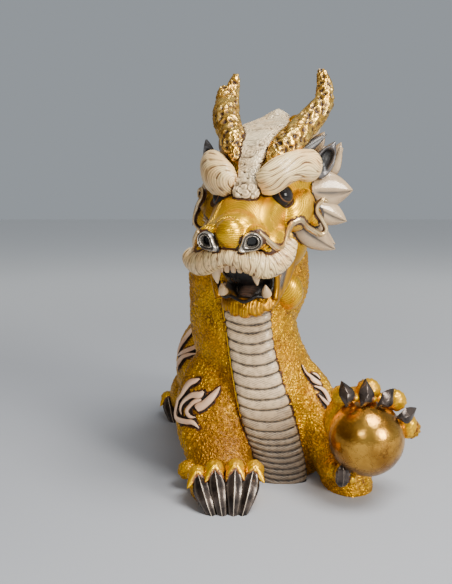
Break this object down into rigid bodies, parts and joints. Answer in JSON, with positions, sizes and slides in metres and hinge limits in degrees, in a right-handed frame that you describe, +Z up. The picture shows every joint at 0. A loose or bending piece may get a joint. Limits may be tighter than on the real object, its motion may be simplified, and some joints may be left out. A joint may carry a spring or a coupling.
{
  "type": "dragon sculpture",
  "caption": "Seated ceramic dragon figure with horns, mane and open jaws, one forepaw planted and the other holding up a gilt ball.",
  "frame": {"origin": "centre of the flat underside of the chest, on the ground", "axes": "+Z up, -Y the way the chest faces, +X to the viewer's right, the side of the raised paw"},
  "size_m": [0.2233, 0.3376, 0.3424],
  "materials": {
    "gold_lustre": "golden pearl lustre glaze over a stippled skin, amber in the hollows",
    "gold_leaf": "burnished gold leaf, rubbed brown in patches"
  },
  "bodies": {
    "root": {"dragon": "gold_lustre", "pearl": "gold_leaf"}
  },
  "joints": []
}
